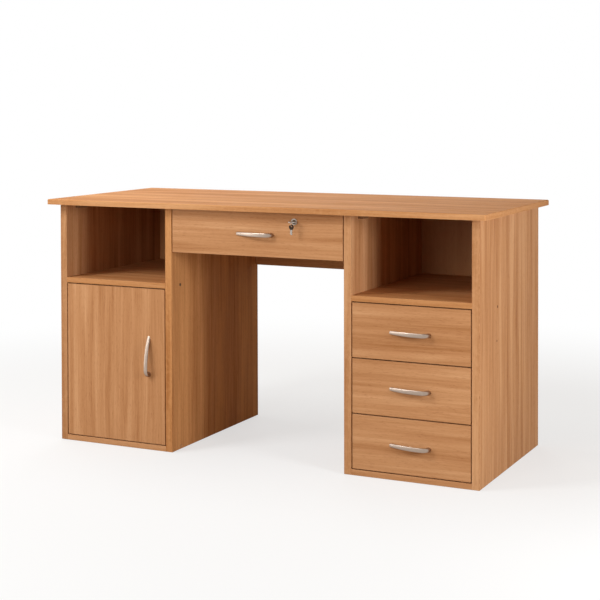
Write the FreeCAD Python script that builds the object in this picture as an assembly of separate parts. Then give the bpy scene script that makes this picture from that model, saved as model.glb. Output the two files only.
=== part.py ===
import FreeCAD, Part
import math
import os

# Writing desk with two pedestals, in laminated chipboard.
# The left pedestal has an open cubby over a cupboard, the right one an open cubby over three drawers,
# and a wide lockable drawer hangs over the knee space.
# Units are millimetres. X runs along the desk, Y from front to back and Z up.
# The origin is on the floor, under the middle of the top.

Vector = FreeCAD.Vector

# Overall sizes
top_length = 1400.0
top_depth = 600.0
desk_height = 740.0
side_overhang = 27.0
front_overhang = 32.0
rear_overhang = 20.0
pedestal_width = 395.0
cubby_height = 224.0
modesty_height = 224.0

# Boards
top_thickness = 16.0
side_thickness = 22.0
board_thickness = 16.0
back_thickness = 3.0
back_rebate = 9.0
back_margin = 0.5
top_corner_radius = 4.0
top_upper_radius = 3.5

# Fronts
front_thickness = 16.0
front_gap = 3.0
pedestal_drawer_names = ("lower", "middle", "upper")
centre_front_height = 127.0

# Drawer boxes
box_board = 12.0
box_rear_space = 79.0
box_top_margin = 28.0
base_sheet = 3.0
groove_depth = 5.0
groove_lift = 8.0
groove_play = 0.2

# Roller runners
runner_space = 12.5
runner_sheet = 1.2
runner_lift = 10.0
runner_setback = 2.0
runner_side_gap = 1.3
member_gap = 0.9
box_lift = 3.0
box_support = 10.0
roller_radius = 7.5
roller_play = 0.3
roller_inset = 12.0
bore_play = 0.08
end_play = 0.6
axle_radius = 2.0

# Bow handles
handle_screw_spacing = 96.0
handle_end_outside = 13.5
handle_end_inside = 4.5
handle_peak = 28.0
handle_rise = 21.0
handle_thickness = 4.0
handle_width = 12.0
handle_near_end_width = 7.0
handle_far_end_width = 10.0
handle_screw_radius = 2.0
handle_screw_head_radius = 4.0
handle_screw_head = 2.4
handle_screw_grip = 4.0
handle_screw_play = 0.3
door_handle_inset = 55.0
door_handle_lift = 28.0

# Concealed hinges
hinge_inset = 100.0
cup_from_edge = 22.5
cup_radius = 17.5
cup_depth = 12.0
cup_wall = 1.0
cup_play = 0.1
cup_flange_half_height = 31.0
cup_flange_half_width = 10.0
cup_flange_sheet = 1.0
hinge_pin_radius = 1.6
pin_play = 0.08
arm_sheet = 3.0
arm_half_width = 7.5
arm_eye_radius = 2.7
eye_wall_space = 3.3
eye_floor_space = 0.3
arm_reach = 13.0
arm_rise = 18.0
arm_run = 46.0
plate_sheet = 2.0
plate_half_height = 24.0
plate_run = 32.0
plate_lead = 8.0
plate_block_height = 4.5

# Small round pieces that repeat are drawn with flats all round
fastener_sides = 8
nut_sides = 6
bar_sides = 12
roller_sides = 24

# Screws that join the inner sides to the boards between them
screw_length = 50.0
screw_radius = 3.5
screw_head_radius = 5.0
screw_head_length = 3.0
screw_inset = 50.0
screw_play = 0.1

# Dowels that join the outer sides to the shelves and bases
dowel_radius = 4.0
dowel_grip_side = 12.0
dowel_grip_board = 18.0
dowel_inset = 60.0
dowel_play = 0.1

# Blocks in the corners under the top
block_width = 15.0
block_length = 40.0
block_inset = 70.0

# Lock in the centre drawer, with its keys
lock_place_share = 1 / 3
lock_drop = 23.0
lock_rim_radius = 9.5
lock_rim = 2.5
lock_barrel_radius = 8.0
lock_barrel_play = 0.2
plug_radius = 6.0
plug_play = 0.05
plug_proud = 0.5
barrel_tail = 8.0
nut_radius = 13.0
nut_length = 4.0
nut_play = 0.1
cam_hub_radius = 8.0
cam_half_width = 5.0
cam_sheet = 2.0
cam_play = 0.25
cam_engagement = 6.0
cam_square_half = 3.0
cam_square_play = 0.1
cam_screw_radius = 4.6
cam_screw_head = 2.0
mortise_play = 1.5
key_sheet = 2.2
key_half_width = 3.6
key_play = 0.15
key_length = 15.0
key_neck = 2.0
key_neck_half_width = 4.2
key_bow_half_width = 13.0
key_bow_length = 15.0
key_bow_corner = 7.0
key_eye_half_width = 4.0
key_rim = 2.0
ring_radius = 6.0
ring_wire_radius = 0.7
ring_play = 0.4
spare_sheet = 2.4
spare_head_radius = 7.2
spare_eye_radius = 2.2
spare_eye_rim = 2.0
spare_blade_half_width = 3.3
spare_blade_sheet = 1.8
spare_length = 29.0
spare_tip = 2.5
spare_cuts = 4
spare_cut_depth = 1.3

# Tools for holes start this far outside the face that they cut
overrun = 1.0

# Places that follow from the sizes above
body_half = top_length / 2 - side_overhang
knee_half = body_half - pedestal_width
body_front = front_overhang - top_depth / 2
body_back = top_depth / 2 - rear_overhang
body_top = desk_height - top_thickness
front_back = body_front + front_thickness
shelf_top = body_top - cubby_height
shelf_low = shelf_top - board_thickness
base_top = board_thickness
board_back = body_back - back_thickness
pedestal_inner = knee_half + side_thickness
pedestal_outer = body_half - side_thickness
pedestal_middle = (pedestal_inner + pedestal_outer) / 2
pedestal_opening = pedestal_outer - pedestal_inner
door_low = base_top + front_gap
door_high = shelf_low - front_gap
fronts = len(pedestal_drawer_names)
pedestal_front_height = (door_high - door_low - (fronts - 1) * front_gap) / fronts
centre_front_low = body_top - front_gap - centre_front_height
box_back = board_back - box_rear_space
runner_front = front_back + runner_setback
handle_half_length = handle_screw_spacing / 2 + handle_end_outside
handle_inner_half_length = handle_screw_spacing / 2 - handle_end_inside
centre_box_inner = knee_half - runner_space - box_board
lock_offset = handle_half_length + lock_place_share * (centre_box_inner - handle_half_length)
lock_z = body_top - front_gap - lock_drop
barrel_end = front_back + barrel_tail
cam_front = barrel_end + cam_play
cam_back = cam_front + cam_sheet
cam_reach = body_top - lock_z + cam_engagement
cam_sweep = math.hypot(cam_reach, cam_half_width)
plug_front = body_front - lock_rim - plug_proud
key_neck_end = plug_front - key_neck
key_end = key_neck_end - key_bow_length
key_rim_y = key_end + key_rim / 2
ring_top = lock_z + key_sheet / 2 + ring_play + ring_wire_radius
ring_bottom = ring_top - 2 * ring_radius
spare_eye_z = ring_bottom + ring_wire_radius + ring_play - spare_eye_radius
spare_top = spare_eye_z + spare_eye_radius + spare_eye_rim


def block(low, high):
    size = Vector(*high) - Vector(*low)
    return Part.makeBox(size.x, size.y, size.z, Vector(*low))


def rod(radius, start, end):
    axis = Vector(*end) - Vector(*start)
    return Part.makeCylinder(radius, axis.Length, Vector(*start), axis)


def extruded(outline, direction):
    # A closed flat outline of points, drawn out into a solid.
    points = [Vector(*point) for point in outline]
    face = Part.Face(Part.makePolygon(points + points[:1]))
    return face.extrude(Vector(*direction))


def flat_sided(sides, radius, start, end, far_radius=None):
    # A bar with flats all round, or a tapered one where the far end has its own radius to the corners.
    axis = Vector(*end) - Vector(*start)
    rings = []
    angles = [2 * math.pi * step / sides for step in range(sides + 1)]
    for reach, z in ((radius, 0), (far_radius or radius, axis.Length)):
        corners = [Vector(reach * math.cos(angle), reach * math.sin(angle), z) for angle in angles]
        rings.append(Part.makePolygon(corners))
    bar = Part.makeLoft(rings, True, True)
    turn = FreeCAD.Rotation(Vector(0, 0, 1), axis)
    return bar.transformed(FreeCAD.Placement(Vector(*start), turn).toMatrix())


def flat_sided_bore(sides, radius, start, end):
    # A hole with flats all round that a bar of this radius to its corners turns in.
    return flat_sided(sides, radius / math.cos(math.pi / sides), start, end)


def fused(first, *others):
    return first.fuse(list(others)).removeSplitter()


def mirrored_x(shape):
    return shape.mirror(Vector(0, 0, 0), Vector(1, 0, 0))


def write(name, solids):
    shape = solids[0] if len(solids) == 1 else Part.makeCompound(solids)
    shape.exportStep(os.path.join("parts", name + ".step"))
    print(name, len(shape.Solids), round(shape.Volume))


# Screws between the inner sides and the shelves, bases and modesty panel

def screw_places():
    # Each place is the middle of a screw's head face and the direction that its point looks in.
    places = []
    for side in (-1, 1):
        for z in (board_thickness / 2, shelf_low + board_thickness / 2):
            for y in (body_front + screw_inset, board_back - screw_inset):
                places.append((Vector(side * knee_half, y, z), Vector(side, 0, 0)))
        for z in (body_top - screw_inset, body_top - modesty_height + screw_inset):
            y = (body_back - board_thickness + board_back) / 2
            places.append((Vector(side * pedestal_inner, y, z), Vector(-side, 0, 0)))
    return places


def panel_screw(place, direction, play):
    head_end = place + direction * screw_head_length
    shank_end = place + direction * (screw_length + play)
    head = flat_sided(fastener_sides, screw_head_radius + play, place, head_end, screw_radius + play)
    return fused(head, flat_sided(fastener_sides, screw_radius + play, head_end, shank_end))


def panel_screws():
    return [panel_screw(place, direction, 0) for place, direction in screw_places()]


def screw_holes():
    holes = []
    for place, direction in screw_places():
        outside = place - direction * overrun
        mouth = flat_sided(fastener_sides, screw_head_radius + screw_play, outside, place)
        holes.append(fused(panel_screw(place, direction, screw_play), mouth))
    return holes


# Dowels between the outer sides and the boards that meet them

def dowel(side, y, z, play):
    start = Vector(side * (pedestal_outer - dowel_grip_board - play), y, z)
    end = Vector(side * (pedestal_outer + dowel_grip_side + play), y, z)
    return flat_sided(fastener_sides, dowel_radius + play, start, end)


def dowels(play=0):
    depths = (body_front + dowel_inset, board_back - dowel_inset)
    heights = (board_thickness / 2, shelf_low + board_thickness / 2)
    return [dowel(side, y, z, play) for side in (-1, 1) for y in depths for z in heights]


def corner_blocks():
    # Each block lies in the corner between the top and the pedestal face of a side.
    blocks = []
    for face, inward in ((pedestal_outer, -1), (pedestal_inner, 1)):
        for y in (body_front + block_inset, board_back - block_inset):
            x_low, x_high = sorted((face, face + inward * block_width))
            corner = block((x_low, y - block_length / 2, body_top - block_width),
                           (x_high, y + block_length / 2, body_top))
            blocks += [mirrored_x(corner), corner]
    return blocks


joint_holes = screw_holes() + dowels(dowel_play)


def drilled(board):
    near = [hole for hole in joint_holes if hole.BoundBox.intersect(board.BoundBox)]
    return board.cut(near) if near else board


# Carcass boards

def mortise():
    # The lock's cam swings up into this pocket in the underside of the top.
    left = lock_offset - cam_half_width - mortise_play
    right = lock_offset + math.sqrt(cam_sweep ** 2 - (body_top - lock_z) ** 2) + mortise_play
    return block((left, cam_front - mortise_play, body_top - overrun),
                 (right, cam_back + mortise_play, lock_z + cam_sweep + mortise_play))


def desk_top():
    low = (-top_length / 2, -top_depth / 2, body_top)
    board = block(low, (top_length / 2, top_depth / 2, desk_height))
    upright = [edge for edge in board.Edges if edge.BoundBox.ZLength > top_thickness / 2]
    board = board.makeFillet(top_corner_radius, upright)
    upper = [edge for edge in board.Edges if edge.BoundBox.ZMin > desk_height - top_upper_radius]
    board = board.makeFillet(top_upper_radius, upper)
    return [board.cut(mortise())]


def side_board(inner_face, outer_face, rebated_face):
    # A full-height side, with a rebate for the back panel along its rear edge.
    low, high = sorted((inner_face, outer_face))
    board = block((low, body_front, 0), (high, body_back, body_top))
    step = back_rebate if high > rebated_face else -back_rebate
    x_low, x_high = sorted((rebated_face, rebated_face + step))
    rebate = block((x_low, board_back, -overrun), (x_high, body_back + overrun, body_top + overrun))
    return [drilled(board.cut(rebate))]


def pedestal_boards(low_z):
    high_z = low_z + board_thickness
    right = block((pedestal_inner, body_front, low_z), (pedestal_outer, board_back, high_z))
    return [drilled(mirrored_x(right)), drilled(right)]


def back_panels():
    reach = back_rebate - back_margin
    panel = block((pedestal_inner - reach, board_back, back_margin),
                  (pedestal_outer + reach, body_back, body_top - back_margin))
    return [mirrored_x(panel), panel]


def modesty_panel():
    return [drilled(block((-knee_half, body_back - board_thickness, body_top - modesty_height),
                          (knee_half, body_back, body_top)))]


# Bow handles, drawn along X on the plane y = 0 and standing out towards -Y

def bowed(half_span, rise):
    # Two arcs that start on y = 0 and meet level at the peak, the far one shorter and rounder.
    arcs = []
    peak = Vector(handle_peak, -rise, 0)
    for foot in (-half_span, half_span):
        run = foot - handle_peak
        radius = (run ** 2 + rise ** 2) / (2 * rise)
        half_angle = math.atan2(run, radius - rise) / 2
        half_way = Vector(radius * math.sin(half_angle), radius * (1 - math.cos(half_angle)), 0)
        arcs.append(Part.Arc(Vector(foot, 0, 0), peak + half_way, peak).toShape())
    return arcs


def handle_leaf():
    # The outline seen from the front: slim at the near end, broad at the peak, fairly broad at the far end.
    edges = []
    near_z, far_z = handle_near_end_width / 2, handle_far_end_width / 2
    for side in (-1, 1):
        near = Vector(-handle_half_length, overrun, side * near_z)
        middle = Vector(handle_peak, overrun, side * handle_width / 2)
        far = Vector(handle_half_length, overrun, side * far_z)
        edges.append(Part.Arc(near, middle, far).toShape())
    for x, end_z in ((-handle_half_length, near_z), (handle_half_length, far_z)):
        edges.append(Part.makeLine(Vector(x, overrun, -end_z), Vector(x, overrun, end_z)))
    return Part.Face(Part.Wire(Part.__sortEdges__(edges)))


def bow_handle():
    # A crescent seen from above, trimmed to a slim leaf seen from the front.
    feet = []
    for side in (-1, 1):
        feet.append(Part.makeLine(Vector(side * handle_half_length, 0, 0),
                                  Vector(side * handle_inner_half_length, 0, 0)))
    outer = bowed(handle_half_length, handle_rise)
    inner = bowed(handle_inner_half_length, handle_rise - handle_thickness)
    outline = Part.Wire(Part.__sortEdges__(outer + inner + feet))
    crescent = Part.Face(outline).extrude(Vector(0, 0, handle_width))
    crescent.translate(Vector(0, 0, -handle_width / 2))
    leaf = handle_leaf()
    bow = crescent.common(leaf.extrude(Vector(0, -handle_rise - 2 * overrun, 0)))
    for side in (-1, 1):
        x = side * handle_screw_spacing / 2
        hole_start, hole_end = (x, overrun, 0), (x, -handle_screw_grip - bore_play, 0)
        bow = bow.cut(flat_sided(fastener_sides, handle_screw_radius + bore_play, hole_start, hole_end))
    return bow


def handle_screws():
    screws = []
    for side in (-1, 1):
        x = side * handle_screw_spacing / 2
        shank_end = (x, front_thickness, 0)
        head_end = (x, front_thickness + handle_screw_head, 0)
        shank = flat_sided(fastener_sides, handle_screw_radius, (x, -handle_screw_grip, 0), shank_end)
        head = flat_sided(fastener_sides, handle_screw_head_radius, shank_end, head_end)
        screws.append(fused(shank, head))
    return screws


def handle_holes():
    holes = []
    radius = handle_screw_radius + handle_screw_play
    for side in (-1, 1):
        x = side * handle_screw_spacing / 2
        hole_end = (x, front_thickness + overrun, 0)
        holes.append(flat_sided(fastener_sides, radius, (x, -overrun, 0), hole_end))
    return holes


handle_shape = bow_handle()


def moved(shapes, middle, upright):
    # Handles, their screws and their holes go to their front together.
    turn = FreeCAD.Rotation(Vector(0, 1, 0), 90) if upright else FreeCAD.Rotation()
    placement = FreeCAD.Placement(Vector(*middle), turn)
    return [shape.transformed(placement.toMatrix()) for shape in shapes]


# Cupboard door and its hinges

door_edge = -pedestal_outer + front_gap
door_free_edge = -pedestal_inner - front_gap
hinge_heights = (door_low + hinge_inset, door_high - hinge_inset)
cup_x = door_edge + cup_from_edge
pin_x = cup_x - cup_radius + cup_wall + eye_wall_space + arm_eye_radius
pin_y = front_back - cup_depth + cup_wall + eye_floor_space + arm_eye_radius
door_handle_z = (door_low + door_high) / 2 + door_handle_lift
door_handle_place = (door_free_edge - door_handle_inset, body_front, door_handle_z)


def door_panel():
    panel = block((door_edge, body_front, door_low), (door_free_edge, front_back, door_high))
    cup_floor = front_back - cup_depth - cup_play
    cups = [rod(cup_radius + cup_play, (cup_x, cup_floor, z), (cup_x, front_back + overrun, z))
            for z in hinge_heights]
    return [panel.cut(cups + moved(handle_holes(), door_handle_place, True))]


def hinge_cup(z):
    floor_y = front_back - cup_depth
    shell = rod(cup_radius, (cup_x, floor_y, z), (cup_x, front_back, z))
    rim_y = front_back + cup_flange_sheet
    flange = block((cup_x - cup_flange_half_width, front_back, z - cup_flange_half_height),
                   (cup_x + cup_flange_half_width, rim_y, z + cup_flange_half_height))
    bowl = rod(cup_radius - cup_wall, (cup_x, floor_y + cup_wall, z), (cup_x, rim_y + overrun, z))
    pin_low, pin_high = (pin_x, pin_y, z - cup_radius), (pin_x, pin_y, z + cup_radius)
    pin = flat_sided(bar_sides, hinge_pin_radius, pin_low, pin_high)
    return fused(fused(shell, flange).cut(bowl), pin.common(shell))


def hinge_cups():
    return [hinge_cup(z) for z in hinge_heights]


def bent_strip(points, thickness, z_low, z_high):
    # A strip of sheet that follows a line of points, with square corners.
    half = thickness / 2
    lefts = []
    rights = []
    for index, point in enumerate(points):
        before = (points[index] - points[index - 1]) if index else (points[1] - points[0])
        after = (points[index + 1] - points[index]) if index + 1 < len(points) else before
        before = Vector(before).normalize()
        after = Vector(after).normalize()
        side = Vector(-before.y - after.y, before.x + after.x, 0) / (1 + before.dot(after))
        lefts.append(point + side * half)
        rights.append(point - side * half)
    outline = [Vector(corner.x, corner.y, z_low) for corner in lefts + rights[::-1]]
    return extruded(outline, (0, 0, z_high - z_low))


def hinge_arm(z):
    # From the eye round the pin, out of the cup, across to the side board and back along its plate.
    wall = -pedestal_outer
    elbow_x = pin_x + arm_reach
    elbow_y = pin_y + arm_rise
    rest_x = wall + plate_sheet + plate_block_height + arm_sheet / 2
    z_low, z_high = z - arm_half_width, z + arm_half_width
    points = [Vector(pin_x, pin_y, 0), Vector(elbow_x, pin_y, 0), Vector(elbow_x, elbow_y, 0),
              Vector(rest_x, elbow_y, 0), Vector(rest_x, elbow_y + arm_run, 0)]
    strip = bent_strip(points, arm_sheet, z_low, z_high)
    eye = flat_sided(bar_sides, arm_eye_radius, (pin_x, pin_y, z_low), (pin_x, pin_y, z_high))
    bore = flat_sided_bore(bar_sides, hinge_pin_radius + pin_play, (pin_x, pin_y, z_low - overrun),
                           (pin_x, pin_y, z_high + overrun))
    plate_y = elbow_y + plate_lead
    plate = block((wall, plate_y, z - plate_half_height),
                  (wall + plate_sheet, plate_y + plate_run, z + plate_half_height))
    carrier = block((wall, elbow_y, z_low), (rest_x - arm_sheet / 2, elbow_y + arm_run, z_high))
    return fused(fused(strip, eye).cut(bore), plate, carrier)


def hinge_arms():
    return [hinge_arm(z) for z in hinge_heights]


# Roller runners. Distances called near and far are measured from the carcass wall towards the drawer.

channel_height = 2 * roller_radius + 2 * roller_play
channel_top = 2 * runner_sheet + channel_height
member_flange_low = channel_top + member_gap
front_roller_z = member_flange_low - roller_play - roller_radius
rear_roller_z = runner_sheet + roller_play + roller_radius
member_web = runner_space - runner_sheet
channel_edge = member_web - runner_side_gap
member_edge = runner_sheet + runner_side_gap
roller_width = member_web - runner_sheet - end_play - runner_side_gap
front_roller_y = runner_front + roller_inset
rear_roller_y = box_back - roller_inset


def strip_beside(wall_x, side, near, far, y_low, y_high, z_low, z_high):
    x_low, x_high = sorted((wall_x - side * near, wall_x - side * far))
    return block((x_low, y_low, z_low), (x_high, y_high, z_high))


def bar_beside(maker, sides, wall_x, side, radius, near, far, y, z):
    return maker(sides, radius, (wall_x - side * near, y, z), (wall_x - side * far, y, z))


def axle_beside(wall_x, side, web, way, y, z):
    # A rivet that stands on a web, looks the given way and ends level with the roller's far face.
    far = web + way * (end_play + roller_width)
    return bar_beside(flat_sided, bar_sides, wall_x, side, axle_radius, web, far, y, z)


def cabinet_rail(wall_x, side, z):
    web = strip_beside(wall_x, side, 0, runner_sheet, runner_front, box_back, z, z + channel_top)
    floor = strip_beside(wall_x, side, 0, channel_edge, runner_front, box_back, z, z + runner_sheet)
    roof = strip_beside(wall_x, side, 0, channel_edge, front_roller_y + roller_inset, box_back,
                        z + channel_top - runner_sheet, z + channel_top)
    axle = axle_beside(wall_x, side, runner_sheet, 1, front_roller_y, z + front_roller_z)
    return fused(web, floor, roof, axle)


def drawer_rail(wall_x, side, z):
    web_high = member_flange_low + runner_sheet
    web_low = box_lift - runner_sheet
    web = strip_beside(wall_x, side, member_web, runner_space, runner_front, box_back,
                       z + web_low, z + web_high)
    ledge = strip_beside(wall_x, side, member_web, runner_space + box_support, runner_front, box_back,
                         z + web_low, z + box_lift)
    flange = strip_beside(wall_x, side, member_edge, runner_space, runner_front, box_back,
                          z + member_flange_low, z + web_high)
    axle = axle_beside(wall_x, side, member_web, -1, rear_roller_y, z + rear_roller_z)
    return fused(web, ledge, flange, axle)


def roller(wall_x, side, web, way, y, z):
    near = web + way * end_play
    far = near + way * roller_width
    wheel = bar_beside(flat_sided, roller_sides, wall_x, side, roller_radius, near, far, y, z)
    bore = bar_beside(flat_sided_bore, bar_sides, wall_x, side, axle_radius + bore_play,
                      near - way * overrun, far + way * overrun, y, z)
    return wheel.cut(bore)


# A drawer is worked out from its opening and the lower edge of its front

def drawer_walls(middle, opening):
    return ((middle - opening / 2, -1), (middle + opening / 2, 1))


def drawer_front(middle, opening, low, height, extra_holes):
    half = opening / 2 - front_gap
    panel = block((middle - half, body_front, low), (middle + half, front_back, low + height))
    groove_z = low + runner_lift + box_lift + groove_lift
    inner = opening / 2 - runner_space - box_board + groove_depth
    groove = block((middle - inner, front_back - groove_depth, groove_z),
                   (middle + inner, front_back + overrun, groove_z + base_sheet + groove_play))
    handle_place = (middle, body_front, low + height / 2)
    return [panel.cut([groove] + moved(handle_holes(), handle_place, False) + extra_holes)]


def drawer_sides(middle, opening, low, height):
    sides = []
    z_low = low + runner_lift + box_lift
    for wall_x, side in drawer_walls(middle, opening):
        board = strip_beside(wall_x, side, runner_space, runner_space + box_board, front_back, box_back,
                             z_low, low + height - box_top_margin)
        inner = runner_space + box_board
        groove_z = z_low + groove_lift
        groove = strip_beside(wall_x, side, inner - groove_depth, inner + overrun, front_back - overrun,
                              box_back + overrun, groove_z, groove_z + base_sheet + groove_play)
        sides.append(board.cut(groove))
    return sides


def drawer_back(middle, opening, low, height):
    half = opening / 2 - runner_space - box_board
    z_low = low + runner_lift + box_lift + groove_lift + base_sheet
    z_high = low + height - box_top_margin
    return [block((middle - half, box_back - box_board, z_low), (middle + half, box_back, z_high))]


def drawer_base(middle, opening, low):
    half = opening / 2 - runner_space - box_board + groove_depth - groove_play
    z_low = low + runner_lift + box_lift + groove_lift
    return [block((middle - half, front_back - groove_depth + groove_play, z_low),
                  (middle + half, box_back, z_low + base_sheet))]


def write_drawer(name, middle, opening, low, height, extra_holes=()):
    handle_place = (middle, body_front, low + height / 2)
    z = low + runner_lift
    walls = drawer_walls(middle, opening)
    write(name + "_drawer_front", drawer_front(middle, opening, low, height, list(extra_holes)))
    write(name + "_drawer_sides", drawer_sides(middle, opening, low, height))
    write(name + "_drawer_back", drawer_back(middle, opening, low, height))
    write(name + "_drawer_base", drawer_base(middle, opening, low))
    write(name + "_drawer_handle", moved([handle_shape], handle_place, False))
    write(name + "_drawer_handle_screws", moved(handle_screws(), handle_place, False))
    write(name + "_drawer_rails", [drawer_rail(wall_x, side, z) for wall_x, side in walls])
    front_z, rear_z = z + front_roller_z, z + rear_roller_z
    front_pair = [roller(wall_x, side, runner_sheet, 1, front_roller_y, front_z) for wall_x, side in walls]
    rear_pair = [roller(wall_x, side, member_web, -1, rear_roller_y, rear_z) for wall_x, side in walls]
    write(name + "_front_rollers", front_pair)
    write(name + "_rear_rollers", rear_pair)
    return [cabinet_rail(wall_x, side, z) for wall_x, side in walls]


# Lock. The cam behind the plug swings up into the top as the key turns a quarter.

def lock_barrel_hole():
    start = (lock_offset, body_front - overrun, lock_z)
    return flat_sided(roller_sides, lock_barrel_radius + lock_barrel_play, start,
                      (lock_offset, front_back + overrun, lock_z))


def lock_barrel():
    # The barrel with its rim, held by a nut behind the drawer's front.
    face_middle = (lock_offset, body_front, lock_z)
    barrel = flat_sided(roller_sides, lock_barrel_radius, face_middle, (lock_offset, barrel_end, lock_z))
    rim = rod(lock_rim_radius, (lock_offset, body_front - lock_rim, lock_z), face_middle)
    bore = rod(plug_radius + plug_play, (lock_offset, body_front - lock_rim - overrun, lock_z),
               (lock_offset, barrel_end + overrun, lock_z))
    nut_end = front_back + nut_length
    nut = flat_sided(nut_sides, nut_radius, (lock_offset, front_back, lock_z),
                     (lock_offset, nut_end, lock_z))
    thread = flat_sided(roller_sides, lock_barrel_radius + nut_play,
                        (lock_offset, front_back - overrun, lock_z),
                        (lock_offset, nut_end + overrun, lock_z))
    return [fused(barrel, rim).cut(bore), nut.cut(thread)]


def square_bar(half, y_low, y_high):
    return block((lock_offset - half, y_low, lock_z - half), (lock_offset + half, y_high, lock_z + half))


def lock_plug():
    # The turning plug, with the square end that drives the cam and the head of the cam's screw.
    body = rod(plug_radius, (lock_offset, plug_front, lock_z), (lock_offset, cam_front, lock_z))
    head = flat_sided(fastener_sides, cam_screw_radius, (lock_offset, cam_back, lock_z),
                      (lock_offset, cam_back + cam_screw_head, lock_z))
    reach = key_half_width + key_play
    rise = key_sheet / 2 + key_play
    keyway = block((lock_offset - reach, plug_front - overrun, lock_z - rise),
                   (lock_offset + reach, plug_front + key_length + key_play, lock_z + rise))
    return [fused(body, square_bar(cam_square_half, cam_front, cam_back), head).cut(keyway)]


def lock_cam():
    # It points along the drawer's front while the lock is open.
    hub = flat_sided(roller_sides, cam_hub_radius, (lock_offset, cam_front, lock_z),
                     (lock_offset, cam_back, lock_z))
    lever = block((lock_offset, cam_front, lock_z - cam_half_width),
                  (lock_offset + cam_reach, cam_back, lock_z + cam_half_width))
    hole = square_bar(cam_square_half + cam_square_play, cam_front - overrun, cam_back + overrun)
    return [fused(hub, lever).cut(hole)]


def rounded_plate(low, high, corner):
    # A level plate with its four upright corners rounded.
    plate = block(low, high)
    upright = [edge for edge in plate.Edges if edge.BoundBox.ZLength > (high[2] - low[2]) / 2]
    return plate.makeFillet(corner, upright)


def lock_key():
    z_low, z_high = lock_z - key_sheet / 2, lock_z + key_sheet / 2
    blade = block((lock_offset - key_half_width, plug_front, z_low),
                  (lock_offset + key_half_width, plug_front + key_length, z_high))
    neck = block((lock_offset - key_neck_half_width, key_neck_end - key_rim, z_low),
                 (lock_offset + key_neck_half_width, plug_front, z_high))
    bow = rounded_plate((lock_offset - key_bow_half_width, key_end, z_low),
                        (lock_offset + key_bow_half_width, key_neck_end, z_high), key_bow_corner)
    eye_end = key_rim_y + ring_radius + ring_wire_radius
    eye = block((lock_offset - key_eye_half_width, key_end + key_rim, z_low - overrun),
                (lock_offset + key_eye_half_width, eye_end, z_high + overrun))
    return [fused(blade, neck, bow).cut(eye)]


def key_ring():
    # A flat ring that stands square to the drawer front, round the rim of the key's bow.
    middle_z = ring_top - ring_radius
    left, right = lock_offset - ring_wire_radius, lock_offset + ring_wire_radius
    disc = flat_sided(roller_sides, ring_radius + ring_wire_radius, (left, key_rim_y, middle_z),
                      (right, key_rim_y, middle_z))
    eye = flat_sided(roller_sides, ring_radius - ring_wire_radius, (left - overrun, key_rim_y, middle_z),
                     (right + overrun, key_rim_y, middle_z))
    return [disc.cut(eye)]


def spare_key():
    # It hangs face-on from the ring: a round head, a flat blade and a row of cuts along one edge.
    head_z = spare_top - spare_head_radius
    tip_z = spare_top - spare_length
    head = flat_sided(roller_sides, spare_head_radius, (lock_offset, key_rim_y - spare_sheet / 2, head_z),
                      (lock_offset, key_rim_y + spare_sheet / 2, head_z))
    blade_back = key_rim_y + spare_blade_sheet / 2
    blade_front = key_rim_y - spare_blade_sheet / 2
    left = lock_offset - spare_blade_half_width
    right = lock_offset + spare_blade_half_width
    outline = [(left, blade_front, head_z), (left, blade_front, tip_z + spare_tip),
               (left + spare_tip, blade_front, tip_z), (right - spare_tip / 2, blade_front, tip_z)]
    cut_zone = head_z - spare_head_radius - tip_z - spare_tip
    pitch = cut_zone / (spare_cuts + 1)
    for step in range(spare_cuts):
        low = tip_z + spare_tip + step * pitch
        outline += [(right, blade_front, low), (right - spare_cut_depth, blade_front, low + pitch / 2)]
    outline += [(right, blade_front, tip_z + spare_tip + spare_cuts * pitch), (right, blade_front, head_z)]
    blade = extruded(outline, (0, blade_back - blade_front, 0))
    eye = flat_sided(bar_sides, spare_eye_radius, (lock_offset, key_rim_y - spare_sheet, spare_eye_z),
                     (lock_offset, key_rim_y + spare_sheet, spare_eye_z))
    return [fused(head, blade).cut(eye)]


def write_carcass(rails):
    write("desk_top", desk_top())
    write("left_outer_side", side_board(-body_half, -pedestal_outer, -pedestal_outer))
    write("left_inner_side", side_board(-pedestal_inner, -knee_half, -pedestal_inner))
    write("right_inner_side", side_board(knee_half, pedestal_inner, pedestal_inner))
    write("right_outer_side", side_board(pedestal_outer, body_half, pedestal_outer))
    write("base_panels", pedestal_boards(0))
    write("shelves", pedestal_boards(shelf_low))
    write("back_panels", back_panels())
    write("modesty_panel", modesty_panel())
    write("panel_screws", panel_screws())
    write("dowels", dowels())
    write("corner_blocks", corner_blocks())
    write("hinge_arms", hinge_arms())
    write("cabinet_rails", rails)


def write_door():
    write("door_panel", door_panel())
    write("door_handle", moved([handle_shape], door_handle_place, True))
    write("door_handle_screws", moved(handle_screws(), door_handle_place, True))
    write("hinge_cups", hinge_cups())


def write_lock():
    write("lock_barrel", lock_barrel())
    write("lock_plug", lock_plug())
    write("lock_cam", lock_cam())
    write("lock_key", lock_key())
    write("key_ring", key_ring())
    write("spare_key", spare_key())


os.makedirs("parts", exist_ok=True)
cabinet_rails = write_drawer("centre", 0, 2 * knee_half, centre_front_low, centre_front_height,
                             [lock_barrel_hole()])
for index, drawer_name in enumerate(pedestal_drawer_names):
    drawer_low = door_low + index * (pedestal_front_height + front_gap)
    cabinet_rails += write_drawer(drawer_name, pedestal_middle, pedestal_opening, drawer_low,
                                  pedestal_front_height)
write_carcass(cabinet_rails)
write_door()
write_lock()
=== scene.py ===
import math

import bmesh
import bpy
import numpy as np
from mathutils import Matrix, Vector


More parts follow.
